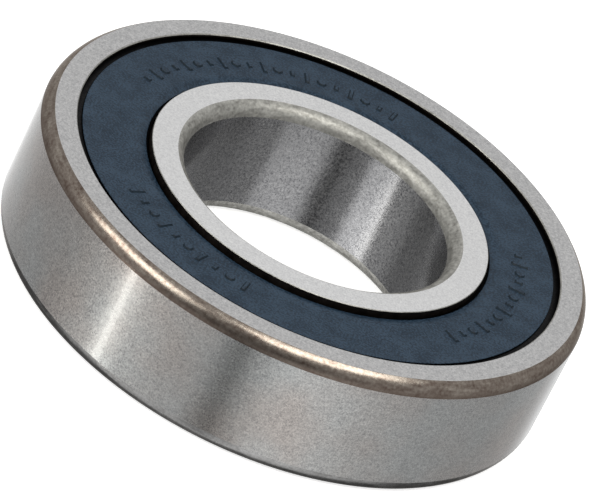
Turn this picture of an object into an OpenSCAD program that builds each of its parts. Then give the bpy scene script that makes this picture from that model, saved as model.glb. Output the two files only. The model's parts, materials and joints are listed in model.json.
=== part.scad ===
// Sealed deep-groove ball bearing: two rings, one row of balls in a riveted
// ribbon cage, and a rubber seal with a steel insert snapped into each side.
// Millimetres. The bearing axis is Z and the origin is the centre of the bearing.

/* [Boundary dimensions] */
// Bore diameter of the inner ring
bore_d = 35; // [28:0.5:38]
// Outside diameter of the outer ring
outside_d = 72; // [69:0.5:90]
// Width over the faces of both rings
width = 17; // [16.7:0.1:24]

/* [Balls and races] */
// Number of balls
ball_count = 9; // [5:1:9]
// Diameter of a ball
ball_d = 11.112; // [8:0.001:11.3]
// Radial play of the balls between the two races, in total
internal_clearance = 0.03; // [0.02:0.005:0.1]
// Radius of a race's groove as a share of the ball's diameter
race_conformity = 0.52; // [0.51:0.005:0.56]
// Height of a ring's shoulder above the bottom of its race
shoulder_h = 2.1; // [1.6:0.05:2.4]

/* [Ring corners] */
// Outer ring's corner, measured along the face
outer_corner_radial = 1.15; // [0.8:0.05:1.5]
// Outer ring's corner, measured along the outside surface
outer_corner_axial = 1.9; // [1:0.05:2.4]
// Radius of the outer ring's turned corner
outer_corner_arc = 2.5; // [2.4:0.1:4]
// Bore corner, measured along the face
bore_corner_radial = 1.35; // [0.8:0.05:1.8]
// Bore corner, measured along the bore
bore_corner_axial = 1.8; // [1:0.05:2.2]
// Radius of the bore's turned corner
bore_corner_arc = 2.2; // [1.9:0.1:4]
// Broken edge between the outer ring's face and the mouth of the seal's seat
mouth_edge_break = 0.14; // [0.06:0.02:0.24]
// Broken edge between the inner ring's face and its land
land_edge_break = 0.08; // [0.04:0.02:0.24]

/* [Cage] */
// Thickness of the cage's sheet steel
cage_sheet = 0.8; // [0.5:0.05:1]
// Play between a ball and its pocket
pocket_clearance = 0.12; // [0.08:0.01:0.2]
// Inside radius of the bend where a pocket turns into the flat bar
bend_r = 0.6; // [0.4:0.05:0.9]
// Radial play between the cage and each ring's shoulder
cage_shoulder_gap = 0.9; // [0.7:0.05:1.2]
// Diameter of a rivet's shank
rivet_d = 1.3; // [1:0.1:1.6]
// Diameter of a rivet's head
rivet_head_d = 2.3; // [1.9:0.1:2.8]
// Height of a rivet's head
rivet_head_h = 0.65; // [0.4:0.05:0.9]

/* [Seals] */
// Depth of the seal's face below the faces of the rings
seal_recess = 0.45; // [0.3:0.01:0.7]
// Thickness of the rubber over the steel insert
rubber_skin = 0.5; // [0.3:0.05:0.6]
// Thickness of the steel insert
insert_sheet = 0.5; // [0.3:0.05:0.6]
// Step from the outer ring's shoulder out to the mouth of the seal's seat
seat_step = 1.71; // [1.5:0.01:2.1]
// Depth of the straight mouth above the snap groove
mouth_depth = 0.45; // [0.3:0.05:0.6]
// Depth of the snap groove behind the mouth
snap_undercut = 0.7; // [0.4:0.05:0.9]
// Depth of the seat's floor below the ring's face
seat_depth = 2.1; // [1.9:0.05:2.3]
// Visible gap between the seal's face and the mouth of its seat
seal_edge_gap = 0.78; // [0.5:0.02:1]
// Play between the seal's bead and the wall of the snap groove
bead_clearance = 0.05; // [0.02:0.01:0.1]
// Step from the inner ring's shoulder in to the land beside its face
land_step = 1.04; // [0.9:0.01:1.3]
// Visible gap between the inner ring's land and the seal
land_gap = 0.45; // [0.3:0.05:0.6]
// Extra depth of the seal's face at its inner edge
seal_dish = 0.36; // [0.1:0.02:0.45]
// Depth of the lip's groove below the land
lip_groove_depth = 0.6; // [0.4:0.05:0.7]
// Running gap between the seal's lip and the bottom of its groove
lip_clearance = 0.1; // [0.05:0.01:0.15]

/* [Grease] */
// Thickness of the grease that has settled against the outer ring's shoulder
grease_layer = 0.5; // [0.3:0.05:0.6]
// Length of that grease along the axis
grease_length = 1.8; // [1.2:0.1:2.2]

/* [Hidden] */
$fn = 96;

// Rings
bore_r = bore_d / 2;
outside_r = outside_d / 2;
face_z = width / 2;
pitch_r = (bore_r + outside_r) / 2;
ball_r = ball_d / 2;
ball_step = 360 / ball_count;
race_groove_r = race_conformity * ball_d;
inner_race_r = pitch_r - ball_r - internal_clearance / 2;
outer_race_r = pitch_r + ball_r + internal_clearance / 2;
inner_shoulder_r = inner_race_r + shoulder_h;
outer_shoulder_r = outer_race_r - shoulder_h;

// Seal's seat in the outer ring
mouth_r = outer_shoulder_r + seat_step;
snap_r = mouth_r + snap_undercut;
snap_slope = snap_undercut / 2;
snap_z = face_z - mouth_depth - snap_slope;
seat_z = face_z - seat_depth;

// Lip's groove in the inner ring: it opens below the land and ends at the shoulder
land_depth = 1.2;
land_r = inner_shoulder_r - land_step;
lip_groove_r = land_r - lip_groove_depth;
lip_groove_z = face_z - land_depth - lip_groove_depth / 2;
shoulder_slope = 0.5;
shoulder_z = seat_z - 0.4;

// Cage
pocket_r = ball_r + pocket_clearance;
crown_r = pocket_r + cage_sheet;
bend_z = cage_sheet + bend_r;
bend_s = sqrt(pow(crown_r + bend_r, 2) - pow(bend_z, 2));
bar_overlap = 0.2;
cage_inner_r = inner_shoulder_r + cage_shoulder_gap;
cage_outer_r = outer_shoulder_r - cage_shoulder_gap;

// Seal: the insert's disc, its bent rim, and the rubber moulded round it
rubber_z = face_z - seal_recess;
insert_z = rubber_z - rubber_skin;
insert_under_z = insert_z - insert_sheet;
rubber_outer_r = mouth_r - seal_edge_gap;
rubber_inner_r = land_r + land_gap;
rubber_edge = 0.25;
neck_gap = 0.15;
dish_w = 1.2;
insert_outer_r = outer_shoulder_r + 0.6;
insert_inner_r = rubber_inner_r + dish_w;
insert_rim_z = seat_z + 0.25;
bead_r = snap_r - bead_clearance;
bead_corner = 0.25;
lip_tip_r = lip_groove_r + lip_clearance;
lip_tip_z = lip_groove_z - 0.2;
lip_tip_w = 0.2;
lip_root_z = insert_under_z - 0.15;

// Grease: inside the outer ring's shoulder, clear of the balls and the cage
grease_gap = 0.05;
grease_top_z = insert_under_z - grease_gap;
grease_foot_z = grease_top_z - grease_length;

BALL_NODES = [for (i = [1:ball_count]) str("ball_", i)];

// How far cutting shapes reach past the metal
beyond = 1;

// Waste of a rounded corner at the origin, with the metal on the side of -X and -Y.
// The arc runs between the two ends of the corner and is tangent to neither surface.
module corner_waste(radial, axial, arc_r) {
    chord = sqrt(radial * radial + axial * axial);
    rise = sqrt(arc_r * arc_r - chord * chord / 4);
    difference() {
        translate([-radial, -axial]) square([radial + beyond, axial + beyond]);
        translate([-radial / 2 - rise * axial / chord, -axial / 2 - rise * radial / chord])
            circle(r = arc_r);
    }
}

// The children on the front side and mirrored to the rear side
module both_sides_2d() {
    children();
    mirror([0, 1]) children();
}

// The children mirrored to the rear side
module rear() {
    mirror([0, 0, 1]) children();
}

module at_each_ball() {
    for (i = [0:ball_count - 1])
        rotate([0, 0, i * ball_step]) translate([pitch_r, 0, 0]) children();
}

module at_each_rivet() {
    rotate([0, 0, ball_step / 2]) at_each_ball() children();
}

// Waste of the seal's seat: broken edge, straight mouth, snap groove and floor
module seat_waste() {
    polygon([
        [outer_shoulder_r - beyond, face_z + beyond],
        [mouth_r + mouth_edge_break + beyond, face_z + beyond],
        [mouth_r, face_z - mouth_edge_break],
        [mouth_r, face_z - mouth_depth],
        [snap_r, snap_z],
        [snap_r, seat_z],
        [outer_shoulder_r - beyond, seat_z]
    ]);
}

// Waste outside the inner ring's land, with the groove that the lip runs in
module land_waste() {
    polygon([
        [inner_shoulder_r + beyond, face_z + beyond],
        [land_r - land_edge_break - beyond, face_z + beyond],
        [land_r, face_z - land_edge_break],
        [land_r, face_z - land_depth],
        [lip_groove_r, lip_groove_z],
        [lip_groove_r, shoulder_z + shoulder_slope],
        [inner_shoulder_r, shoulder_z],
        [inner_shoulder_r + beyond, shoulder_z]
    ]);
}

module outer_ring() {
    color("silver") rotate_extrude() difference() {
        translate([outer_shoulder_r, -face_z]) square([outside_r - outer_shoulder_r, width]);
        translate([outer_race_r - race_groove_r, 0]) circle(r = race_groove_r);
        both_sides_2d() seat_waste();
        both_sides_2d() translate([outside_r, face_z])
            corner_waste(outer_corner_radial, outer_corner_axial, outer_corner_arc);
    }
}

module inner_ring() {
    color("gainsboro") rotate_extrude() difference() {
        translate([bore_r, -face_z]) square([inner_shoulder_r - bore_r, width]);
        translate([inner_race_r + race_groove_r, 0]) circle(r = race_groove_r);
        both_sides_2d() land_waste();
        both_sides_2d() translate([bore_r, face_z]) mirror([1, 0])
            corner_waste(bore_corner_radial, bore_corner_axial, bore_corner_arc);
    }
}

module ball(i) {
    color("whitesmoke") rotate([0, 0, (i - 1) * ball_step]) translate([pitch_r, 0, 0])
        sphere(r = ball_r);
}

// Corner between a pocket's crown and the flat bar, outside the bend's round of radius r
module beside_bend(r) {
    difference() {
        polygon([[0, -beyond], [bend_s, -beyond], [bend_s, bend_z], [0, 0]]);
        translate([bend_s, bend_z]) circle(r = r);
    }
}

// Section of the sheet from the top of a pocket, down its bend and out along the bar
module pocket_section() {
    half_width = bend_s + bar_overlap;
    difference() {
        intersection() {
            union() {
                circle(r = crown_r);
                beside_bend(bend_r);
                square([half_width, cage_sheet]);
            }
            square([half_width, crown_r + beyond]);
        }
        circle(r = pocket_r);
        beside_bend(bend_r + cage_sheet);
    }
}

// Flat ring of the cage with a round opening for each pocket
module cage_bars() {
    difference() {
        cylinder(r = cage_outer_r + beyond, h = cage_sheet);
        at_each_ball() translate([0, 0, -beyond]) cylinder(r = bend_s, h = cage_sheet + 2 * beyond);
    }
}

// One half of the ribbon cage: pockets pressed into a flat ring that is riveted to its twin
module cage_half() {
    color("darkgray") difference() {
        intersection() {
            union() {
                cage_bars();
                at_each_ball() rotate_extrude() pocket_section();
            }
            difference() {
                cylinder(r = cage_outer_r, h = crown_r + beyond);
                translate([0, 0, -beyond]) cylinder(r = cage_inner_r, h = crown_r + 3 * beyond);
            }
        }
        at_each_rivet() translate([0, 0, -beyond])
            cylinder(d = rivet_d, h = cage_sheet + 2 * beyond);
    }
}

// Right half of a rivet's section: a shank through both halves with a domed head at each end
module rivet_section() {
    head_r = rivet_head_d / 2;
    dome_r = (head_r * head_r + rivet_head_h * rivet_head_h) / (2 * rivet_head_h);
    translate([0, -cage_sheet]) square([rivet_d / 2, 2 * cage_sheet]);
    both_sides_2d() intersection() {
        translate([0, cage_sheet + rivet_head_h - dome_r]) circle(r = dome_r);
        translate([0, cage_sheet]) square([rivet_head_d, rivet_head_h]);
    }
}

module cage_rivets() {
    color("dimgray") at_each_rivet() rotate_extrude() rivet_section();
}

// Section of the steel insert: a flat disc with its rim bent down towards the seat
module insert_section() {
    translate([insert_inner_r, insert_under_z])
        square([insert_outer_r - insert_inner_r, insert_sheet]);
    translate([insert_outer_r - insert_sheet, insert_rim_z])
        square([insert_sheet, insert_z - insert_rim_z]);
}

// Section of the moulded rubber: face, snap bead in its groove, the insert's bed, and the lip
module rubber_section() {
    polygon([
        [rubber_inner_r, rubber_z - seal_dish],
        [insert_inner_r, rubber_z],
        [rubber_outer_r, rubber_z],
        [rubber_outer_r, snap_z],
        [bead_r - bead_corner, snap_z - neck_gap],
        [bead_r, snap_z - neck_gap - bead_corner],
        [bead_r, seat_z],
        [outer_shoulder_r, seat_z],
        [outer_shoulder_r, insert_under_z],
        [insert_outer_r - insert_sheet, insert_under_z],
        [insert_outer_r - insert_sheet, insert_rim_z],
        [insert_outer_r, insert_rim_z],
        [insert_outer_r, insert_z],
        [insert_inner_r, insert_z],
        [insert_inner_r, lip_root_z],
        [rubber_inner_r + lip_tip_w, lip_root_z],
        [lip_tip_r + lip_tip_w, lip_tip_z - lip_tip_w],
        [lip_tip_r, lip_tip_z],
        [rubber_inner_r, insert_z]
    ]);
}

module seal_rubber() {
    color([0.16, 0.21, 0.26]) rotate_extrude() difference() {
        rubber_section();
        translate([rubber_outer_r, rubber_z])
            corner_waste(rubber_edge, rubber_edge, 1.2 * rubber_edge);
    }
}

module seal_insert() {
    color("slategray") rotate_extrude() insert_section();
}

// A fillet of grease that the balls have thrown out against the shoulder and the insert
module grease() {
    foot_h = grease_length / 3;
    color("khaki") rotate_extrude() polygon([
        [outer_shoulder_r, grease_foot_z],
        [outer_shoulder_r, grease_top_z],
        [outer_shoulder_r - grease_layer, grease_top_z],
        [outer_shoulder_r - grease_layer, grease_top_z - foot_h],
        [outer_shoulder_r - grease_layer / 2, grease_foot_z + foot_h / 2]
    ]);
}

outer_ring();
inner_ring();
for (i = [1:ball_count])
    ball(i);
cage_half();  // cage_front
rear() cage_half();  // cage_rear
cage_rivets();
seal_rubber();  // seal_front_rubber
seal_insert();  // seal_front_insert
rear() seal_rubber();  // seal_rear_rubber
rear() seal_insert();  // seal_rear_insert
grease();  // grease_front
rear() grease();  // grease_rear
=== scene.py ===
"""Looks of a sealed deep-groove ball bearing: ground steel rings, balls, riveted cage and rubber seals.

The frame gives the places. Section sizes are in millimetres and are turned into metres as they are used.
"""

import json
import math

import bmesh
import bpy
from mathutils import Matrix, Vector


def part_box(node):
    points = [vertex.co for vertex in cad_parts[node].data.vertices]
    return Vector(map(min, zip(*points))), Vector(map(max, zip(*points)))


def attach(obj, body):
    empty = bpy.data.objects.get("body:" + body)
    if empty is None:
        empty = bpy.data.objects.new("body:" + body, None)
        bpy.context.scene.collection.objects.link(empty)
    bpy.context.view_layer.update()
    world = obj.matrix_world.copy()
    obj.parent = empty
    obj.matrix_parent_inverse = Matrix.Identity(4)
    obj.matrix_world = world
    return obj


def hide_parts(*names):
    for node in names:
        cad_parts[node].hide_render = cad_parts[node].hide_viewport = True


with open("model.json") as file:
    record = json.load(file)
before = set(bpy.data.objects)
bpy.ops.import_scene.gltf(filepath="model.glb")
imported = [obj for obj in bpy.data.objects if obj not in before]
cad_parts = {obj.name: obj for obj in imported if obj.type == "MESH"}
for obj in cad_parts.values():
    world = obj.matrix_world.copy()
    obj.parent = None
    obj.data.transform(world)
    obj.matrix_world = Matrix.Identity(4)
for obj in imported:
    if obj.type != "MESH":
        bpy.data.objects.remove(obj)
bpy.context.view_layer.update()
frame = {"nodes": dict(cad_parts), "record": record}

MM = 0.001

# ---------------------------------------------------------------- sizes

# From the frame, in millimetres
OUTER_LOW, OUTER_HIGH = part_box("outer_ring")
OUTSIDE_R = OUTER_HIGH[0] / MM
FACE_Z = OUTER_HIGH[2] / MM
BALL_LOW, BALL_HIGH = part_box("ball_1")
BALL_R = (BALL_HIGH[2] - BALL_LOW[2]) / 2 / MM
PITCH_R = (BALL_HIGH[0] + BALL_LOW[0]) / 2 / MM
BEAD_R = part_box("seal_front_rubber")[1][0] / MM
MOUNTS = {mount["name"]: mount for mount in frame["record"]["mounts"]}
BORE_R = MOUNTS["bore"]["dims"]["r_mm"]

# Races, in millimetres, with the groove's radius as a share of the ball's diameter
RACE_CONFORMITY = 0.52
HALF_CLEARANCE = 0.015
SHOULDER_H = 2.1

# Turned corners of the rings: size along the face, size along the cylinder, arc radius
OUTER_CORNER = (1.15, 1.9, 2.5)
BORE_CORNER = (1.35, 1.8, 2.2)
MOUTH_EDGE_BREAK = 0.14
LAND_EDGE_BREAK = 0.08
CORNER_EDGE_ROUND = 0.06

# Seal's seat in the outer ring
SEAT_STEP = 1.71
SEAT_DEPTH = 2.1
MOUTH_DEPTH = 0.45
SNAP_SLOPE = 0.35
BEAD_CLEARANCE = 0.05

# Land and lip groove of the inner ring
LAND_STEP = 1.04
LAND_DEPTH = 1.2
LIP_GROOVE_DEPTH = 0.6
SHOULDER_DROP = 0.4
SHOULDER_SLOPE = 0.5

# Seal: the rubber, its steel insert and its lip
SEAL_RECESS = 0.45
SEAL_EDGE_GAP = 0.78
LAND_GAP = 0.45
RUBBER_SKIN = 0.5
DISH_W = 1.2
DISH_H = 0.36
NECK_GAP = 0.15
BEAD_CORNER = 0.25
INSERT_SHEET = 0.5
INSERT_REACH = 0.6
INSERT_RIM_GAP = 0.25
LIP_CLEARANCE = 0.1
LIP_TIP_DROP = 0.2
LIP_TIP_W = 0.2
LIP_ROOT_DROP = 0.15

# Radii and heights that follow from these
RACE_GROOVE_R = RACE_CONFORMITY * 2 * BALL_R
INNER_RACE_R = PITCH_R - BALL_R - HALF_CLEARANCE
OUTER_RACE_R = PITCH_R + BALL_R + HALF_CLEARANCE
INNER_SHOULDER_R = INNER_RACE_R + SHOULDER_H
OUTER_SHOULDER_R = OUTER_RACE_R - SHOULDER_H
MOUTH_R = OUTER_SHOULDER_R + SEAT_STEP
SNAP_R = BEAD_R + BEAD_CLEARANCE
SNAP_Z = FACE_Z - MOUTH_DEPTH - SNAP_SLOPE
SEAT_Z = FACE_Z - SEAT_DEPTH
LAND_R = INNER_SHOULDER_R - LAND_STEP
LIP_GROOVE_R = LAND_R - LIP_GROOVE_DEPTH
LIP_GROOVE_Z = FACE_Z - LAND_DEPTH - LIP_GROOVE_DEPTH / 2
SHOULDER_Z = SEAT_Z - SHOULDER_DROP
RUBBER_Z = FACE_Z - SEAL_RECESS
RUBBER_OUTER_R = MOUTH_R - SEAL_EDGE_GAP
RUBBER_INNER_R = LAND_R + LAND_GAP
INSERT_Z = RUBBER_Z - RUBBER_SKIN
INSERT_UNDER_Z = INSERT_Z - INSERT_SHEET
INSERT_OUTER_R = OUTER_SHOULDER_R + INSERT_REACH
INSERT_INNER_R = RUBBER_INNER_R + DISH_W
INSERT_RIM_R = INSERT_OUTER_R - INSERT_SHEET
INSERT_RIM_Z = SEAT_Z + INSERT_RIM_GAP
LIP_TIP_R = LIP_GROOVE_R + LIP_CLEARANCE
LIP_TIP_Z = LIP_GROOVE_Z - LIP_TIP_DROP
LIP_ROOT_Z = INSERT_UNDER_Z - LIP_ROOT_DROP

# Rows of moulded marks on each seal: first and last angle in degrees, radius and number of marks.
# The marks are sunk a little into the rubber so that no gap shows under them.
MARK_ROWS = (
    (82.0, 164.0, 26.6, 20),
    (222.0, 263.0, 26.8, 10),
    (324.0, 379.0, 26.6, 14),
)
MARK_WIDTH = 0.72
MARK_LENGTH = 2.3
MARK_HEIGHT = 0.2
MARK_SLOPE = 0.2
MARK_SINK = 0.02

# A face of a mark is one of its sides, darkened with painted shade, where the Z of its normal is less than
# this
MARK_SIDE_LIMIT = 0.98

# Meshing: steps round the axis, angle of a step on an arc, and how far a support point stands off
# a rounding in millimetres. Points closer than the merge distance, in metres, become one.
LATHE_STEPS = 240
ARC_STEP = math.radians(9)
RACE_STEP = math.radians(3)
SUPPORT = 0.03
MERGE_DISTANCE = 1e-7
SHARP_ANGLE = math.radians(32)
BALL_SEGMENTS = 64
BALL_RINGS = 40
STUD_SIDES = 20

# Finishes that a lathed piece can carry, in the order of the lathe's material inputs. The seat finish is
# near black on steel and rubber: painted shade in the grooves and gaps.
FINISHES = ("face", "outside", "corner", "rear corner", "bore", "bore corner", "seat", "race")

# Camera: lens and sensor in millimetres, shift as shares of the sensor's width, distance in metres,
# angles in degrees
CAMERA_LENS = 343.6
CAMERA_SENSOR = 36.0
CAMERA_SHIFT = (0.0083, -0.0010)
CAMERA_DISTANCE = 0.7038
CAMERA_AZIMUTH = -90.0
CAMERA_ELEVATION = 30.71
CAMERA_ROLL = 26.4

# Floor: size in metres, gap under the bearing in millimetres, and radiance
FLOOR_SIZE = 6.0
FLOOR_GAP = 0.05
FLOOR_GLOW = 0.62

# Surroundings above the horizon: radiance, and the share of it that is left behind the camera
HIGH_LIGHT = 0.46
FRONT_SHARE = 0.3

# Share of the surroundings that is left where they lie deep under the bearing, away from the camera
UNDER_SHARE = 0.20

# Surroundings below the horizon: azimuth in degrees and radiance
LOW_LIGHT = (
    (0, 0.44),
    (28, 0.34),
    (55, 0.42),
    (74, 0.85),
    (86, 0.72),
    (93, 1.10),
    (101, 1.05),
    (110, 0.82),
    (125, 0.58),
    (150, 0.36),
    (195, 0.38),
    (212, 0.54),
    (238, 0.54),
    (258, 0.47),
    (269, 0.10),
    (279, 0.46),
    (290, 0.70),
    (306, 0.70),
    (328, 0.48),
    (360, 0.44),
)

# Softboxes, all at one distance in metres: name, azimuth and elevation in degrees, width and height
# in metres, radiance, colour, and whether they light the inner ring only
LIGHT_DISTANCE = 0.9
WHITE = (1.0, 1.0, 1.0)
SOFT_WHITE = (1.0, 0.985, 0.93)
SOFTBOXES = (
    ("left edge light", 218.5, -30.0, 0.045, 0.60, 3.3, SOFT_WHITE, False),
    ("left softbox", 214.0, 36.0, 0.64, 0.36, 3.6, SOFT_WHITE, False),
    ("right softbox", 308.0, 57.0, 0.68, 0.34, 4.0, SOFT_WHITE, False),
    ("back softbox", 90.0, 45.0, 1.20, 0.70, 0.36, WHITE, False),
    ("bore edge light", 220.0, -28.0, 0.045, 0.80, 3.6, WHITE, True),
    ("bore wide light", 233.0, -28.0, 0.28, 0.80, 1.4, WHITE, True),
    ("bore left light", 198.0, -28.0, 0.30, 0.80, 0.2, WHITE, True),
    ("bore right light", 302.0, -28.0, 0.62, 0.80, 0.56, WHITE, True),
)


# ---------------------------------------------------------------- node helpers

def add_node(tree, kind, inputs=None, **settings):
    """A new node with its settings made, and its inputs linked or set."""
    node = tree.nodes.new(kind)
    for name, value in settings.items():
        setattr(node, name, value)
    for key, value in (inputs or {}).items():
        if isinstance(value, bpy.types.NodeSocket):
            tree.links.new(value, node.inputs[key])
        else:
            node.inputs[key].default_value = value
    return node


def calc(tree, operation, first, second=0.0, third=0.0):
    """The result socket of a Math node."""
    node = add_node(tree, "ShaderNodeMath", operation=operation)
    for socket, value in zip(node.inputs, (first, second, third)):
        if isinstance(value, bpy.types.NodeSocket):
            tree.links.new(value, socket)
        else:
            socket.default_value = value
    return node.outputs[0]


def add_inputs(tree, kind, names):
    """New inputs of one kind on the tree's interface."""
    for name in names:
        tree.interface.new_socket(name, in_out="INPUT", socket_type=kind)


def end_tree(tree, geometry):
    """Gives the tree its output and links the finished geometry to it."""
    tree.interface.new_socket("Piece", in_out="OUTPUT", socket_type="NodeSocketGeometry")
    out = add_node(tree, "NodeGroupOutput")
    tree.links.new(geometry, out.inputs[0])


def with_material(tree, geometry, material, selection=True):
    """The geometry with a material on its selected faces."""
    node = add_node(tree, "GeometryNodeSetMaterial", {
        "Geometry": geometry,
        "Selection": selection,
        "Material": material,
    })
    return node.outputs[0]


def set_inputs(modifier, values):
    """Sets a geometry nodes modifier's inputs by name, through their identifiers."""
    for item in modifier.node_group.interface.items_tree:
        if item.in_out == "INPUT" and item.name in values:
            modifier[item.identifier] = values[item.name]


def start_object(name, mesh, tree):
    """An object with the mesh that a tree starts from, and its first modifier."""
    obj = bpy.data.objects.new(name, mesh)
    bpy.context.collection.objects.link(obj)
    return obj, add_tree(obj, tree)


def add_tree(obj, tree):
    """A geometry nodes modifier that runs the tree."""
    modifier = obj.modifiers.new(tree.name, "NODES")
    modifier.node_group = tree
    return modifier


def applied(obj, name):
    """A plain mesh object made from the evaluated object, which is removed."""
    depsgraph = bpy.context.evaluated_depsgraph_get()
    mesh = bpy.data.meshes.new_from_object(obj.evaluated_get(depsgraph))
    obj.modifiers.clear()
    bpy.data.objects.remove(obj)
    mesh.name = name
    piece = bpy.data.objects.new(name, mesh)
    bpy.context.collection.objects.link(piece)
    return piece


# ---------------------------------------------------------------- sections

def arc(centre, radius, start, end, step=ARC_STEP):
    """Points of an arc in a section, ends included, at about one point for each step."""
    steps = max(2, math.ceil(abs(end - start) / step))
    angles = [start + (end - start) * i / steps for i in range(steps + 1)]
    return [(centre[0] + radius * math.cos(a), centre[1] + radius * math.sin(a)) for a in angles]


def corner_arc(edge, inward, sizes):
    """Turned corner from the face to the cylinder. edge is the sharp corner, inward is -1 or 1."""
    radial, axial, radius = sizes
    chord = math.hypot(radial, axial)
    rise = math.sqrt(radius ** 2 - chord ** 2 / 4)
    centre_r = radial / 2 + rise * axial / chord
    centre_z = axial / 2 + rise * radial / chord
    start = math.atan2(centre_z, centre_r - radial)
    end = math.atan2(centre_z - axial, centre_r)
    points = arc((-centre_r, -centre_z), radius, start, end)
    return [(edge[0] - inward * x, edge[1] + z) for x, z in points]


def rounded(section, closed):
    """A section with its corners rounded and held by a support point on each side.

    section is a list of (r, z, rounding, finish): the rounding is the corner's radius in
    millimetres, and the finish belongs to the stretch after the point.
    """
    points = []
    count = len(section)
    for i, (r, z, rounding, finish) in enumerate(section):
        here = Vector((r, z))
        is_end = not closed and i in (0, count - 1)
        if rounding == 0 or is_end:
            points.append((r, z, finish))
            continue
        before = Vector(section[i - 1][:2]) - here
        after = Vector(section[(i + 1) % count][:2]) - here
        before_finish = section[i - 1][3]
        turn = math.pi - before.angle(after)
        back = rounding * math.tan(turn / 2)
        start = here + before.normalized() * back
        end = here + after.normalized() * back
        if before.length > 3 * (back + SUPPORT):
            support = here + before.normalized() * (back + SUPPORT)
            points.append((*support, before_finish))
        middle = (before.normalized() + after.normalized()).normalized()
        centre = here + middle * (rounding / math.cos(turn / 2))
        first = start - centre
        last = end - centre
        sweep = math.atan2(first.x * last.y - first.y * last.x, first.dot(last))
        steps = max(2, math.ceil(abs(sweep) / (2 * ARC_STEP)))
        for step in range(steps + 1):
            angle = math.atan2(first.y, first.x) + sweep * step / steps
            point = centre + Vector((math.cos(angle), math.sin(angle))) * rounding
            points.append((*point, finish if step >= steps / 2 else before_finish))
        if after.length > 3 * (back + SUPPORT):
            support = here + after.normalized() * (back + SUPPORT)
            points.append((*support, finish))
    return points


def both_sides(half):
    """A whole section from its front half, which starts and ends on the mid-plane."""
    rear = []
    for i in range(len(half) - 2, 0, -1):
        rear.append((half[i][0], -half[i][1], half[i - 1][2]))
    first_rear = (half[-1][0], half[-1][1], half[-2][2])
    return half[:-1] + [first_rear] + rear


def race_arc(race_r, outward, shoulder_r):
    """Points from the bottom of a race, at the mid-plane, to its shoulder."""
    centre_r = race_r - outward * RACE_GROOVE_R
    reach = math.acos(abs(shoulder_r - centre_r) / RACE_GROOVE_R)
    points = arc((0, 0), RACE_GROOVE_R, 0, reach, RACE_STEP)
    return [(centre_r + outward * x, z) for x, z in points]


def with_edges(points, finish, next_finish):
    """A turned corner's points, with its first and last edge slightly rounded."""
    corner = [(r, z, 0, finish) for r, z in points]
    corner[0] = (*points[0], CORNER_EDGE_ROUND, finish)
    corner[-1] = (*points[-1], CORNER_EDGE_ROUND, next_finish)
    return corner


def outer_ring_section():
    """Section of the outer ring, whose rear corner has a finish of its own."""
    half = [(r, z, 0, "race") for r, z in race_arc(OUTER_RACE_R, 1, OUTER_SHOULDER_R)]
    half[-1] = (*half[-1][:2], 0, "seat")
    half += [
        (OUTER_SHOULDER_R, SEAT_Z, 0.1, "seat"),
        (SNAP_R, SEAT_Z, 0.15, "seat"),
        (SNAP_R, SNAP_Z, 0.1, "seat"),
        (MOUTH_R, FACE_Z - MOUTH_DEPTH, 0.1, "seat"),
        (MOUTH_R, FACE_Z - MOUTH_EDGE_BREAK, 0.08, "bore corner"),
        (MOUTH_R + MOUTH_EDGE_BREAK, FACE_Z, 0.05, "face"),
    ]
    half += with_edges(corner_arc((OUTSIDE_R, FACE_Z), -1, OUTER_CORNER), "corner", "outside")
    half.append((OUTSIDE_R, 0, 0, "outside"))
    whole = both_sides(rounded(half, closed=False))
    return [(r, z, "rear corner" if finish == "corner" and z < 0 else finish) for r, z, finish in whole]


def inner_ring_section():
    """Section of the inner ring."""
    half = [(r, z, 0, "race") for r, z in race_arc(INNER_RACE_R, -1, INNER_SHOULDER_R)]
    half[-1] = (*half[-1][:2], 0, "seat")
    half += [
        (INNER_SHOULDER_R, SHOULDER_Z, 0.1, "seat"),
        (LIP_GROOVE_R, SHOULDER_Z + SHOULDER_SLOPE, 0.1, "seat"),
        (LIP_GROOVE_R, LIP_GROOVE_Z, 0.1, "seat"),
        (LAND_R, FACE_Z - LAND_DEPTH, 0.1, "seat"),
        (LAND_R, FACE_Z - LAND_EDGE_BREAK, 0.05, "bore corner"),
        (LAND_R - LAND_EDGE_BREAK, FACE_Z, 0.05, "face"),
    ]
    half += with_edges(corner_arc((BORE_R, FACE_Z), 1, BORE_CORNER), "bore corner", "bore")
    half.append((BORE_R, 0, 0, "bore"))
    return both_sides(rounded(half, closed=False))


def seal_rubber_section(side):
    """Section of the moulded rubber on the front (side 1) or the rear (side -1)."""
    section = [
        (RUBBER_INNER_R, RUBBER_Z - DISH_H, 0.12, "face"),
        (INSERT_INNER_R, RUBBER_Z, 1.5, "face"),
        (RUBBER_OUTER_R, RUBBER_Z, 0.12, "seat"),
        (RUBBER_OUTER_R, SNAP_Z, 0.05, "seat"),
        (BEAD_R - BEAD_CORNER, SNAP_Z - NECK_GAP, 0.1, "seat"),
        (BEAD_R, SNAP_Z - NECK_GAP - BEAD_CORNER, 0.15, "seat"),
        (BEAD_R, SEAT_Z, 0.1, "seat"),
        (OUTER_SHOULDER_R, SEAT_Z, 0, "seat"),
        (OUTER_SHOULDER_R, INSERT_UNDER_Z, 0, "seat"),
        (INSERT_RIM_R, INSERT_UNDER_Z, 0, "seat"),
        (INSERT_RIM_R, INSERT_RIM_Z, 0, "seat"),
        (INSERT_OUTER_R, INSERT_RIM_Z, 0, "seat"),
        (INSERT_OUTER_R, INSERT_Z, 0, "seat"),
        (INSERT_INNER_R, INSERT_Z, 0, "seat"),
        (INSERT_INNER_R, LIP_ROOT_Z, 0.05, "seat"),
        (RUBBER_INNER_R + LIP_TIP_W, LIP_ROOT_Z, 0.1, "seat"),
        (LIP_TIP_R + LIP_TIP_W, LIP_TIP_Z - LIP_TIP_W, 0.05, "seat"),
        (LIP_TIP_R, LIP_TIP_Z, 0.08, "seat"),
        (RUBBER_INNER_R, INSERT_Z, 0.1, "seat"),
    ]
    return [(r, side * z, finish) for r, z, finish in rounded(section, closed=True)]


# ---------------------------------------------------------------- lathe

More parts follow.
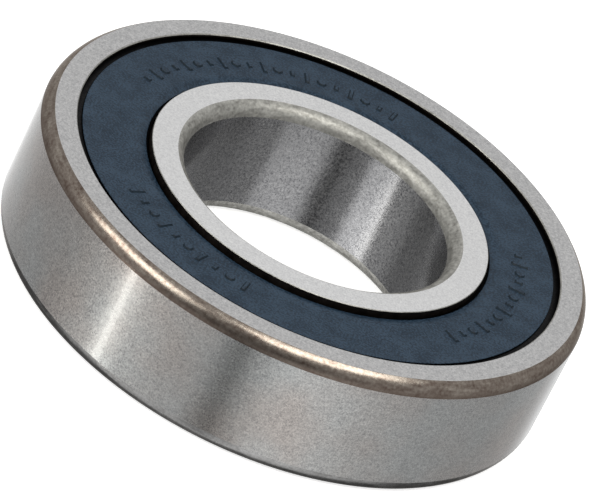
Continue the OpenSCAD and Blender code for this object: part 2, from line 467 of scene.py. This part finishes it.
def lathe_tree():
    """Turns a closed section in the XZ plane round the Z axis, with a material for each finish."""
    tree = bpy.data.node_groups.new("lathe", "GeometryNodeTree")
    add_inputs(tree, "NodeSocketGeometry", ["Section"])
    add_inputs(tree, "NodeSocketInt", ["Steps", "Rows"])
    add_inputs(tree, "NodeSocketMaterial", FINISHES)
    entry = add_node(tree, "NodeGroupInput").outputs
    rows = entry["Rows"]

    grid = add_node(tree, "GeometryNodeMeshGrid", {
        "Size X": 1.0,
        "Size Y": 1.0,
        "Vertices X": calc(tree, "ADD", entry["Steps"], 1.0),
        "Vertices Y": calc(tree, "ADD", rows, 1.0),
    })
    place = add_node(tree, "GeometryNodeInputPosition").outputs[0]
    split = add_node(tree, "ShaderNodeSeparateXYZ", {0: place}).outputs
    along = calc(tree, "MULTIPLY", calc(tree, "ADD", split["Y"], 0.5), rows)
    angle = calc(tree, "MULTIPLY", calc(tree, "ADD", split["X"], 0.5), 2 * math.pi)

    # Each face keeps the finish of the row that it starts from
    finish = add_node(tree, "GeometryNodeInputNamedAttribute", {"Name": "finish"}, data_type="INT")
    face_finish = add_node(tree, "GeometryNodeSampleIndex", {
        "Geometry": entry["Section"],
        "Value": finish.outputs["Attribute"],
        "Index": calc(tree, "FLOOR", along),
    }, data_type="INT", domain="POINT")
    marked = add_node(tree, "GeometryNodeStoreNamedAttribute", {
        "Geometry": grid.outputs["Mesh"],
        "Name": "finish",
        "Value": face_finish.outputs[0],
    }, data_type="INT", domain="FACE")

    # Each vertex goes to its section point, turned round the axis
    row = calc(tree, "MODULO", calc(tree, "ROUND", along), rows)
    section_place = add_node(tree, "GeometryNodeSampleIndex", {
        "Geometry": entry["Section"],
        "Value": place,
        "Index": row,
    }, data_type="FLOAT_VECTOR", domain="POINT")
    turned = add_node(tree, "ShaderNodeVectorRotate", {
        "Vector": section_place.outputs[0],
        "Angle": angle,
    }, rotation_type="Z_AXIS")
    placed = add_node(tree, "GeometryNodeSetPosition", {
        "Geometry": marked.outputs[0],
        "Position": turned.outputs[0],
    })
    closed = add_node(tree, "GeometryNodeMergeByDistance", {
        "Geometry": placed.outputs[0],
        "Distance": MERGE_DISTANCE,
    })
    piece = add_node(tree, "GeometryNodeRealizeInstances", {"Geometry": closed.outputs[0]}).outputs[0]

    # Inputs 2 and 3 of the comparison are its whole numbers
    for number, name in enumerate(FINISHES):
        own_finish = add_node(tree, "GeometryNodeInputNamedAttribute", {"Name": "finish"}, data_type="INT")
        compared = {2: own_finish.outputs["Attribute"], 3: number}
        is_it = add_node(tree, "FunctionNodeCompare", compared, data_type="INT", operation="EQUAL")
        piece = with_material(tree, piece, entry[name], is_it.outputs[0])
    end_tree(tree, piece)
    return tree


def lathed(name, section, materials, tree):
    """A lathed piece. section holds (r, z, finish), and materials has a material for each finish in it."""
    mesh = bpy.data.meshes.new(name + "_section")
    count = len(section)
    edges = [(i, (i + 1) % count) for i in range(count)]
    mesh.from_pydata([(r * MM, 0, z * MM) for r, z, _ in section], edges, [])
    finish = mesh.attributes.new("finish", "INT", "POINT")
    for i, (_, _, finish_name) in enumerate(section):
        finish.data[i].value = FINISHES.index(finish_name)
    obj, modifier = start_object(name + "_section", mesh, tree)
    any_material = next(iter(materials.values()))
    finishes = {finish_name: materials.get(finish_name, any_material) for finish_name in FINISHES}
    set_inputs(modifier, {"Steps": LATHE_STEPS, "Rows": count, **finishes})
    piece = applied(obj, name)
    face_outwards(piece.data)
    piece.data.shade_smooth()
    piece.data.set_sharp_from_angle(angle=SHARP_ANGLE)
    return piece


def face_outwards(mesh):
    """Recalculates the normals of a closed mesh so that they point outwards."""
    work = bmesh.new()
    work.from_mesh(mesh)
    bmesh.ops.recalc_face_normals(work, faces=work.faces)
    if work.calc_volume(signed=True) < 0:
        bmesh.ops.reverse_faces(work, faces=work.faces)
    work.to_mesh(mesh)
    work.free()


# ---------------------------------------------------------------- balls and marks

def ball_tree():
    """A whole ball of a given radius."""
    tree = bpy.data.node_groups.new("ball", "GeometryNodeTree")
    add_inputs(tree, "NodeSocketGeometry", ["Start"])
    add_inputs(tree, "NodeSocketFloat", ["Radius"])
    add_inputs(tree, "NodeSocketVector", ["Place"])
    add_inputs(tree, "NodeSocketMaterial", ["Material"])
    entry = add_node(tree, "NodeGroupInput").outputs
    sphere = add_node(tree, "GeometryNodeMeshUVSphere", {
        "Segments": BALL_SEGMENTS,
        "Rings": BALL_RINGS,
        "Radius": entry["Radius"],
    })
    placed = add_node(tree, "GeometryNodeTransform", {
        "Geometry": sphere.outputs["Mesh"],
        "Translation": entry["Place"],
    })
    plain = add_node(tree, "GeometryNodeRealizeInstances", {"Geometry": placed.outputs[0]})
    end_tree(tree, with_material(tree, plain.outputs[0], entry["Material"]))
    return tree


def mark_places(tree, entry):
    """Points along the row's arc, with each point's index and angle."""
    line = add_node(tree, "GeometryNodeMeshLine", {"Count": entry["Count"]})
    index = add_node(tree, "GeometryNodeInputIndex").outputs[0]
    share = calc(tree, "DIVIDE", index, calc(tree, "SUBTRACT", entry["Count"], 1.0))
    sweep = calc(tree, "SUBTRACT", entry["Last Angle"], entry["First Angle"])
    angle = calc(tree, "MULTIPLY_ADD", share, sweep, entry["First Angle"])
    along = add_node(tree, "ShaderNodeCombineXYZ", {"X": entry["Radius"], "Z": entry["Level"]})
    turned = add_node(tree, "ShaderNodeVectorRotate", {
        "Vector": along.outputs[0],
        "Angle": angle,
    }, rotation_type="Z_AXIS")
    points = add_node(tree, "GeometryNodeSetPosition", {
        "Geometry": line.outputs[0],
        "Position": turned.outputs[0],
    })
    return points.outputs[0], index, angle


def sloped(tree, block, inward):
    """The block as an instance, with its upper points moved inwards so that its sides slope."""
    place = add_node(tree, "GeometryNodeInputPosition").outputs[0]
    height = add_node(tree, "ShaderNodeSeparateXYZ", {0: place}).outputs["Z"]
    upper = add_node(tree, "GeometryNodeSetPosition", {
        "Geometry": block,
        "Selection": calc(tree, "GREATER_THAN", height, 0.0),
        "Offset": inward,
    })
    return add_node(tree, "GeometryNodeGeometryToInstance", {0: upper.outputs[0]}).outputs[0]


def mark_bar(tree, entry, length):
    """A bar along the radius, with sloped sides."""
    size = add_node(tree, "ShaderNodeCombineXYZ", {"X": length, "Y": entry["Width"], "Z": entry["Height"]})
    block = add_node(tree, "GeometryNodeMeshCube", {"Size": size.outputs[0]})
    place = add_node(tree, "GeometryNodeInputPosition").outputs[0]
    split = add_node(tree, "ShaderNodeSeparateXYZ", {0: place}).outputs
    back = calc(tree, "MULTIPLY", entry["Slope"], -1.0)
    inward = add_node(tree, "ShaderNodeCombineXYZ", {
        "X": calc(tree, "MULTIPLY", calc(tree, "SIGN", split["X"]), back),
        "Y": calc(tree, "MULTIPLY", calc(tree, "SIGN", split["Y"]), back),
    })
    return sloped(tree, block.outputs["Mesh"], inward.outputs[0])


def mark_stud(tree, entry):
    """A round stud, with a sloped side."""
    post = add_node(tree, "GeometryNodeMeshCylinder", {
        "Vertices": STUD_SIDES,
        "Radius": entry["Width"],
        "Depth": entry["Height"],
    })
    place = add_node(tree, "GeometryNodeInputPosition").outputs[0]
    split = add_node(tree, "ShaderNodeSeparateXYZ", {0: place}).outputs
    flat_place = add_node(tree, "ShaderNodeCombineXYZ", {"X": split["X"], "Y": split["Y"]})
    outward = add_node(tree, "ShaderNodeVectorMath", {0: flat_place.outputs[0]}, operation="NORMALIZE")
    inward = add_node(tree, "ShaderNodeVectorMath", {
        0: outward.outputs[0],
        "Scale": calc(tree, "MULTIPLY", entry["Slope"], -1.0),
    }, operation="SCALE")
    return sloped(tree, post.outputs["Mesh"], inward.outputs[0])


def mark_row_tree():
    """Adds a row of raised marks along an arc: radial bars, short bars and round studs in turn."""
    tree = bpy.data.node_groups.new("row of raised marks", "GeometryNodeTree")
    add_inputs(tree, "NodeSocketGeometry", ["Rows So Far"])
    add_inputs(tree, "NodeSocketFloat", ["Radius", "First Angle", "Last Angle"])
    add_inputs(tree, "NodeSocketFloat", ["Width", "Length", "Height", "Slope", "Level"])
    add_inputs(tree, "NodeSocketInt", ["Count"])
    add_inputs(tree, "NodeSocketMaterial", ["Top Material", "Painted Shade Side Material"])
    entry = add_node(tree, "NodeGroupInput").outputs

    points, index, angle = mark_places(tree, entry)
    stud = mark_stud(tree, entry)
    long_bar = mark_bar(tree, entry, entry["Length"])
    short_bar = mark_bar(tree, entry, calc(tree, "MULTIPLY", entry["Length"], 0.5))
    kinds = add_node(tree, "GeometryNodeJoinGeometry")
    for kind in (stud, short_bar, long_bar):
        tree.links.new(kind, kinds.inputs[0])
    turn = add_node(tree, "ShaderNodeCombineXYZ", {"Z": angle})
    marks = add_node(tree, "GeometryNodeInstanceOnPoints", {
        "Points": points,
        "Instance": kinds.outputs[0],
        "Pick Instance": True,
        "Instance Index": calc(tree, "MODULO", index, 3.0),
        "Rotation": turn.outputs[0],
    })
    plain = add_node(tree, "GeometryNodeRealizeInstances", {"Geometry": marks.outputs[0]})
    topped = with_material(tree, plain.outputs[0], entry["Top Material"])

    # The sides of the marks take darker rubber: painted shade, so the relief shows.
    facing = add_node(tree, "GeometryNodeInputNormal")
    upward = add_node(tree, "ShaderNodeSeparateXYZ", {0: facing.outputs[0]}).outputs["Z"]
    is_side = calc(tree, "LESS_THAN", upward, MARK_SIDE_LIMIT)
    finished = with_material(tree, topped, entry["Painted Shade Side Material"], is_side)
    joined = add_node(tree, "GeometryNodeJoinGeometry")
    tree.links.new(entry["Rows So Far"], joined.inputs[0])
    tree.links.new(finished, joined.inputs[0])
    end_tree(tree, joined.outputs[0])
    return tree


# ---------------------------------------------------------------- materials

def new_material(name):
    """A new material with its node tree and its shader."""
    material = bpy.data.materials.new(name)
    material.use_nodes = True
    tree = material.node_tree
    return material, tree, tree.nodes["Principled BSDF"]


def object_axes(tree):
    """The X, Y and Z sockets of the object coordinates."""
    place = add_node(tree, "ShaderNodeTexCoord").outputs["Object"]
    return add_node(tree, "ShaderNodeSeparateXYZ", {0: place}).outputs


def grain(tree, scale, detail=3.0):
    """A noise value on object coordinates. scale is in cycles per metre."""
    place = add_node(tree, "ShaderNodeTexCoord").outputs["Object"]
    noise = add_node(tree, "ShaderNodeTexNoise", {"Vector": place, "Scale": scale, "Detail": detail})
    return noise.outputs["Fac"]


def spread(tree, value, low, high, reach=0.2):
    """A value within reach of 0.5 stretched over low to high."""
    ramp = add_node(tree, "ShaderNodeMapRange", {
        "Value": value,
        "From Min": 0.5 - reach,
        "From Max": 0.5 + reach,
        "To Min": low,
        "To Max": high,
    })
    return ramp.outputs[0]


def tinted(tree, value, dark, light):
    """A colour between dark and light."""
    mix = add_node(tree, "ShaderNodeMix", data_type="RGBA")
    tree.links.new(value, mix.inputs["Factor"])
    mix.inputs["A"].default_value = (*dark, 1.0)
    mix.inputs["B"].default_value = (*light, 1.0)
    return mix.outputs["Result"]


def relief(tree, height, distance):
    """A bump normal. distance is the height of the relief in metres."""
    bump = add_node(tree, "ShaderNodeBump", {"Height": height, "Distance": distance, "Strength": 1.0})
    return bump.outputs[0]


def turning_lines(tree, per_turn, across, detail=2.0):
    """A noise value drawn out along the turning direction.

    per_turn is in cycles round the bearing and across is in cycles per metre.
    """
    split = object_axes(tree)
    square = calc(tree, "MULTIPLY", split["Y"], split["Y"])
    radius = calc(tree, "SQRT", calc(tree, "MULTIPLY_ADD", split["X"], split["X"], square))
    waves = per_turn / (2 * math.pi)
    round_x = calc(tree, "MULTIPLY", calc(tree, "DIVIDE", split["X"], radius), waves)
    round_y = calc(tree, "MULTIPLY", calc(tree, "DIVIDE", split["Y"], radius), waves)
    unrolled = add_node(tree, "ShaderNodeCombineXYZ", {
        "X": round_x,
        "Y": round_y,
        "Z": calc(tree, "MULTIPLY", radius, across),
    })
    noise = add_node(tree, "ShaderNodeTexNoise", {
        "Vector": unrolled.outputs[0],
        "W": calc(tree, "MULTIPLY", split["Z"], across),
        "Scale": 1.0,
        "Detail": detail,
    }, noise_dimensions="4D")
    return noise.outputs["Fac"]


def blend(tree, first, second, share):
    """first and second added together, with share of the second."""
    part = calc(tree, "MULTIPLY", second, share)
    return calc(tree, "MULTIPLY_ADD", first, 1.0 - share, part)


def stretch_along_axis(tree, shader, amount):
    """Draws the shader's highlights out along the bearing axis."""
    tangent = add_node(tree, "ShaderNodeTangent", direction_type="RADIAL", axis="Z")
    tree.links.new(tangent.outputs[0], shader.inputs["Tangent"])
    shader.inputs["Anisotropic"].default_value = amount
    shader.inputs["Anisotropic Rotation"].default_value = 0.25


def stained(tree, colour, amount):
    """The colour with faint, broad stains that run from warm to cool."""
    stains = spread(tree, grain(tree, 90.0, detail=2.0), 0.0, 1.0, 0.15)
    mix = add_node(tree, "ShaderNodeMix", data_type="RGBA", blend_type="MULTIPLY")
    mix.inputs["Factor"].default_value = amount
    tree.links.new(colour, mix.inputs["A"])
    tree.links.new(tinted(tree, stains, (0.97, 0.90, 0.86), (0.99, 1.01, 1.01)), mix.inputs["B"])
    return mix.outputs["Result"]


def ground_steel(name, dark, light, roughness, along_axis=0.0, oil=0.0):
    """Ground bearing steel.

    along_axis stretches its highlights along the axis, and oil is how much oil film and stain it has.
    """
    material, tree, shader = new_material(name)
    fine = grain(tree, 5000.0, detail=1.0)
    lines = turning_lines(tree, 300.0, 2500.0)
    both = blend(tree, fine, lines, 0.3)
    clean = tinted(tree, spread(tree, both, 0.0, 1.0), dark, light)
    tree.links.new(stained(tree, clean, oil), shader.inputs["Base Color"])
    tree.links.new(spread(tree, fine, roughness - 0.05, roughness + 0.05), shader.inputs["Roughness"])
    shader.inputs["Metallic"].default_value = 1.0
    tree.links.new(relief(tree, both, 0.004 * MM), shader.inputs["Normal"])
    if along_axis:
        stretch_along_axis(tree, shader, along_axis)
    shader.inputs["Coat Weight"].default_value = oil
    shader.inputs["Coat Roughness"].default_value = 0.04
    return material


def turned_steel(name, dark, light, roughness, metallic=1.0, painted_shade_low_share=1.0):
    """Turned and hardened corner, with its heat tint drawn out by the tool, a fine grain, and painted shade
    at its lower edge.

    The low share is the part of the light tint that is left at the corner's lower edge. Below 1 it paints
    shade there, for the dark reflection of the shadow under the ring.
    """
    material, tree, shader = new_material(name)
    streaks = turning_lines(tree, 90.0, 2000.0, 3.0)
    fine = grain(tree, 2600.0, detail=2.0)
    both = blend(tree, streaks, fine, 0.45)
    # Painted shade: the tint darkens towards the corner's lower edge, by height.
    share = add_node(tree, "ShaderNodeMapRange", {
        "Value": object_axes(tree)["Z"],
        "From Min": (FACE_Z - OUTER_CORNER[1]) * MM,
        "From Max": (FACE_Z - OUTER_CORNER[1] / 2) * MM,
        "To Min": painted_shade_low_share,
        "To Max": 1.0,
    }).outputs[0]
    value = calc(tree, "MULTIPLY", spread(tree, both, 0.0, 1.0), share)
    tree.links.new(tinted(tree, value, dark, light), shader.inputs["Base Color"])
    tree.links.new(spread(tree, streaks, roughness - 0.05, roughness + 0.05), shader.inputs["Roughness"])
    shader.inputs["Metallic"].default_value = metallic
    shader.inputs["Specular Tint"].default_value = (0.62, 0.60, 0.58, 1.0)
    tree.links.new(relief(tree, both, 0.01 * MM), shader.inputs["Normal"])
    return material


def plain_steel(name, colour, roughness):
    """Steel of the pieces inside, with a light mottle."""
    material, tree, shader = new_material(name)
    mottle = grain(tree, 1200.0)
    dark = tuple(c * 0.85 for c in colour)
    tree.links.new(tinted(tree, mottle, dark, colour), shader.inputs["Base Color"])
    tree.links.new(spread(tree, mottle, roughness * 0.8, roughness * 1.2), shader.inputs["Roughness"])
    shader.inputs["Metallic"].default_value = 1.0
    return material


def moulded_rubber(name, dark, light, gloss):
    """Moulded rubber with a fine grain and broad, faint clouds."""
    material, tree, shader = new_material(name)
    fine = grain(tree, 3600.0, detail=1.0)
    broad = grain(tree, 400.0, detail=3.0)
    both = blend(tree, fine, broad, 0.3)
    tree.links.new(tinted(tree, spread(tree, both, 0.0, 1.0, 0.1), dark, light), shader.inputs["Base Color"])
    tree.links.new(spread(tree, fine, 0.40, 0.60), shader.inputs["Roughness"])
    shader.inputs["Specular IOR Level"].default_value = gloss
    tree.links.new(relief(tree, fine, 0.03 * MM), shader.inputs["Normal"])
    return material


def amber_grease():
    """Pale amber grease, glossy and slightly uneven."""
    material, tree, shader = new_material("amber grease")
    lumps = grain(tree, 500.0)
    tree.links.new(tinted(tree, lumps, (0.55, 0.42, 0.20), (0.75, 0.62, 0.36)), shader.inputs["Base Color"])
    shader.inputs["Roughness"].default_value = 0.25
    shader.inputs["Subsurface Weight"].default_value = 0.3
    shader.inputs["Subsurface Radius"].default_value = (0.002, 0.0015, 0.0008)
    tree.links.new(relief(tree, lumps, 0.1 * MM), shader.inputs["Normal"])
    return material


# ---------------------------------------------------------------- pieces

def carry(piece, body, nodes):
    """Makes a finished piece move with its body and stand for its nodes."""
    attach(piece, body)
    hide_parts(*nodes)


def lapped_ball(node, tree, material):
    """A smooth ball in the place of one ball node."""
    low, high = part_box(node)
    centre = [(a + b) / 2 for a, b in zip(low, high)]
    obj, modifier = start_object(node + "_start", bpy.data.meshes.new(node + "_start"), tree)
    set_inputs(modifier, {"Radius": BALL_R * MM, "Place": centre, "Material": material})
    piece = applied(obj, "lapped_" + node)
    piece.data.shade_smooth()
    carry(piece, node, [node])


def seal_marks(name, side, tree):
    """All the raised marks of the front (side 1) or rear (side -1) seal as one piece."""
    obj = bpy.data.objects.new(name + "_rows", bpy.data.meshes.new(name + "_rows"))
    bpy.context.collection.objects.link(obj)
    for first, last, radius, count in MARK_ROWS:
        set_inputs(add_tree(obj, tree), {
            "Radius": radius * MM,
            "First Angle": math.radians(first),
            "Last Angle": math.radians(last),
            "Width": MARK_WIDTH * MM,
            "Length": MARK_LENGTH * MM,
            "Height": MARK_HEIGHT * MM,
            "Slope": MARK_SLOPE * MM,
            "Level": (RUBBER_Z + MARK_HEIGHT / 2 - MARK_SINK) * MM,
            "Count": count,
            "Top Material": RUBBER["face"],
            "Painted Shade Side Material": RUBBER["painted shade mark side"],
        })
    piece = applied(obj, name)
    if side < 0:
        piece.data.transform(Matrix.Rotation(math.pi, 4, "X"))
    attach(piece, "outer_ring")


def finish_node(names, material):
    """Gives frame nodes that stay in view their material."""
    for name in names:
        mesh = frame["nodes"][name].data
        mesh.materials.clear()
        mesh.materials.append(material)


# ---------------------------------------------------------------- camera and studio

def direction(azimuth, elevation):
    """Unit vector from the bearing towards an azimuth and elevation in degrees."""
    a = math.radians(azimuth)
    e = math.radians(elevation)
    return Vector((math.cos(e) * math.cos(a), math.cos(e) * math.sin(a), math.sin(e)))


def facing_bearing(towards, distance):
    """Matrix of a thing that stands at a distance in a direction and faces the bearing."""
    turn = towards.to_track_quat("Z", "Y").to_matrix().to_4x4()
    return Matrix.Translation(towards * distance) @ turn


def add_camera():
    """The scene's camera, rolled about its view direction."""
    data = bpy.data.cameras.new("camera")
    data.lens = CAMERA_LENS
    data.sensor_width = CAMERA_SENSOR
    data.shift_x, data.shift_y = CAMERA_SHIFT
    camera = bpy.data.objects.new("camera", data)
    bpy.context.collection.objects.link(camera)
    level = facing_bearing(direction(CAMERA_AZIMUTH, CAMERA_ELEVATION), CAMERA_DISTANCE)
    camera.matrix_world = level @ Matrix.Rotation(math.radians(CAMERA_ROLL), 4, "Z")
    bpy.context.scene.camera = camera


def add_softbox(name, azimuth, elevation, width, height, radiance, colour, only):
    """A rectangular area light that faces the bearing. It lights every piece, or only the given one."""
    data = bpy.data.lights.new(name, "AREA")
    data.shape = "RECTANGLE"
    data.size = width
    data.size_y = height
    data.energy = radiance * math.pi * width * height
    data.color = colour
    light = bpy.data.objects.new(name, data)
    bpy.context.collection.objects.link(light)
    light.matrix_world = facing_bearing(direction(azimuth, elevation), LIGHT_DISTANCE)
    if only:
        lit = bpy.data.collections.new(name + " receivers")
        lit.objects.link(only)
        light.light_linking.receiver_collection = lit


def add_floor():
    """A pale table that glows a little, so shadows stay soft. Reflections show the world in its place."""
    material, _, shader = new_material("light table")
    shader.inputs["Base Color"].default_value = (0.85, 0.85, 0.85, 1.0)
    shader.inputs["Roughness"].default_value = 1.0
    shader.inputs["Specular IOR Level"].default_value = 0.0
    shader.inputs["Emission Color"].default_value = (1.0, 1.0, 1.0, 1.0)
    shader.inputs["Emission Strength"].default_value = FLOOR_GLOW
    half = FLOOR_SIZE / 2
    level = (-FACE_Z - FLOOR_GAP) * MM
    corners = [(-half, -half, level), (half, -half, level), (half, half, level), (-half, half, level)]
    mesh = bpy.data.meshes.new("floor")
    mesh.from_pydata(corners, [], [(0, 1, 2, 3)])
    mesh.materials.append(material)
    floor = bpy.data.objects.new("floor", mesh)
    floor.visible_glossy = False
    floor.visible_shadow = False
    bpy.context.collection.objects.link(floor)


def add_world():
    """Studio surroundings: LOW_LIGHT below the horizon, dimmer behind the camera and dark underneath."""
    world = bpy.data.worlds.new("studio")
    world.use_nodes = True
    tree = world.node_tree
    towards = add_node(tree, "ShaderNodeTexCoord").outputs["Generated"]
    split = add_node(tree, "ShaderNodeSeparateXYZ", {0: towards}).outputs
    turns = calc(tree, "DIVIDE", calc(tree, "ARCTAN2", split["Y"], split["X"]), 2 * math.pi)
    ring = add_node(tree, "ShaderNodeValToRGB", {"Fac": calc(tree, "FRACT", turns)})
    stops = ring.color_ramp.elements
    for _ in LOW_LIGHT[2:]:
        stops.new(0.5)
    for stop, (azimuth, radiance) in zip(stops, LOW_LIGHT):
        stop.position = azimuth / 360
        stop.color = (radiance, radiance, radiance, 1.0)

    # Above the horizon: dimmer towards -Y, where the camera stands
    front = add_node(tree, "ShaderNodeMapRange", {
        "Value": split["Y"],
        "From Min": -1.0,
        "From Max": -0.6,
        "To Min": HIGH_LIGHT * FRONT_SHARE,
        "To Max": HIGH_LIGHT,
    })
    above = add_node(tree, "ShaderNodeMapRange", {
        "Value": split["Z"],
        "From Min": -0.25,
        "From Max": 0.10,
        "To Min": ring.outputs["Color"],
        "To Max": front.outputs[0],
    })

    # Dark where a direction points both steeply down and away from the camera
    steep = add_node(tree, "ShaderNodeMapRange", {
        "Value": split["Z"],
        "From Min": -0.58,
        "From Max": -0.68,
    })
    backward = add_node(tree, "ShaderNodeMapRange", {
        "Value": split["Y"],
        "From Min": -0.12,
        "From Max": 0.05,
    })
    below = add_node(tree, "ShaderNodeMapRange", {
        "Value": calc(tree, "MULTIPLY", steep.outputs[0], backward.outputs[0]),
        "To Min": 1.0,
        "To Max": UNDER_SHARE,
    })

    background = tree.nodes["Background"]
    background.inputs["Color"].default_value = (1.0, 1.0, 1.0, 1.0)
    strength = calc(tree, "MULTIPLY", above.outputs[0], below.outputs[0])
    tree.links.new(strength, background.inputs["Strength"])
    bpy.context.scene.world = world


# ---------------------------------------------------------------- the bearing

OUTER_STEEL = {
    "face": ground_steel("outer ring face", (0.40, 0.40, 0.405), (0.72, 0.715, 0.71), 0.36),
    "outside": ground_steel("ground outside surface", (0.38, 0.38, 0.385), (0.86, 0.86, 0.85), 0.30,
                            along_axis=0.95, oil=1.0),
    # The front corner's tint darkens towards its lower edge: painted shade.
    "corner": turned_steel("turned corner", (0.165, 0.116, 0.094), (0.51, 0.455, 0.395), 0.24,
                           painted_shade_low_share=0.35),
    "rear corner": turned_steel("turned rear corner", (0.34, 0.335, 0.33), (0.72, 0.715, 0.71), 0.24),
    "bore corner": turned_steel("tumbled corner", (0.20, 0.195, 0.18), (0.64, 0.635, 0.60), 0.43,
                                metallic=0.7),
    # The seal seat and the walls of the gaps are near-black steel: painted shade.
    "seat": plain_steel("turned seal seat with painted shade", (0.05, 0.04, 0.035), 0.5),
    "race": plain_steel("honed race", (0.75, 0.75, 0.76), 0.12),
}
INNER_STEEL = {
    **OUTER_STEEL,
    "face": ground_steel("inner ring face", (0.67, 0.67, 0.675), (0.93, 0.93, 0.925), 0.36),
    # The bore's steel is darker than the outside surface's: ground steel, with painted shade for the dark
    # inside of the hole.
    "bore": ground_steel("ground bore with some painted shade", (0.12, 0.12, 0.127), (0.46, 0.46, 0.465), 0.28,
                         along_axis=0.93),
}
RUBBER = {
    "face": moulded_rubber("moulded seal rubber", (0.001, 0.013, 0.030), (0.029, 0.057, 0.094), 0.28),
    # The rubber in the grooves and gaps is near black: painted shade.
    "seat": moulded_rubber("painted shade rubber in the grooves", (0.001, 0.001, 0.001), (0.003, 0.003, 0.004), 0.1),
    # The sides of the marks are darker rubber: painted shade.
    "painted shade mark side": moulded_rubber("painted shade rubber round the marks", (0.004, 0.011, 0.019), (0.009, 0.021, 0.034), 0.2),
}

LATHE = lathe_tree()
carry(lathed("ground_outer_ring", outer_ring_section(), OUTER_STEEL, LATHE),
      "outer_ring", ["outer_ring"])
INNER_RING = lathed("ground_inner_ring", inner_ring_section(), INNER_STEEL, LATHE)
carry(INNER_RING, "inner_ring", ["inner_ring"])
for side_name, side in (("front", 1), ("rear", -1)):
    carry(lathed(f"moulded_{side_name}_seal", seal_rubber_section(side), RUBBER, LATHE),
          "outer_ring", [f"seal_{side_name}_rubber"])

BALL = ball_tree()
BALL_STEEL = plain_steel("lapped ball steel", (0.82, 0.83, 0.84), 0.06)
for ball_node in [name for name in frame["nodes"] if name.startswith("ball_")]:
    lapped_ball(ball_node, BALL, BALL_STEEL)

MARK_ROW = mark_row_tree()
seal_marks("front_seal_marks", 1, MARK_ROW)
seal_marks("rear_seal_marks", -1, MARK_ROW)

finish_node(["cage_front", "cage_rear"], plain_steel("pressed cage steel", (0.56, 0.56, 0.55), 0.34))
finish_node(["cage_rivets"], plain_steel("headed rivet steel", (0.46, 0.46, 0.46), 0.38))
finish_node(["seal_front_insert", "seal_rear_insert"],
            plain_steel("insert steel", (0.42, 0.43, 0.45), 0.45))
finish_node(["grease_front", "grease_rear"], amber_grease())


# ---------------------------------------------------------------- the studio

add_camera()
add_floor()
add_world()
for *settings, for_inner_ring in SOFTBOXES:
    add_softbox(*settings, INNER_RING if for_inner_ring else None)
bpy.context.scene.view_settings.view_transform = "Standard"
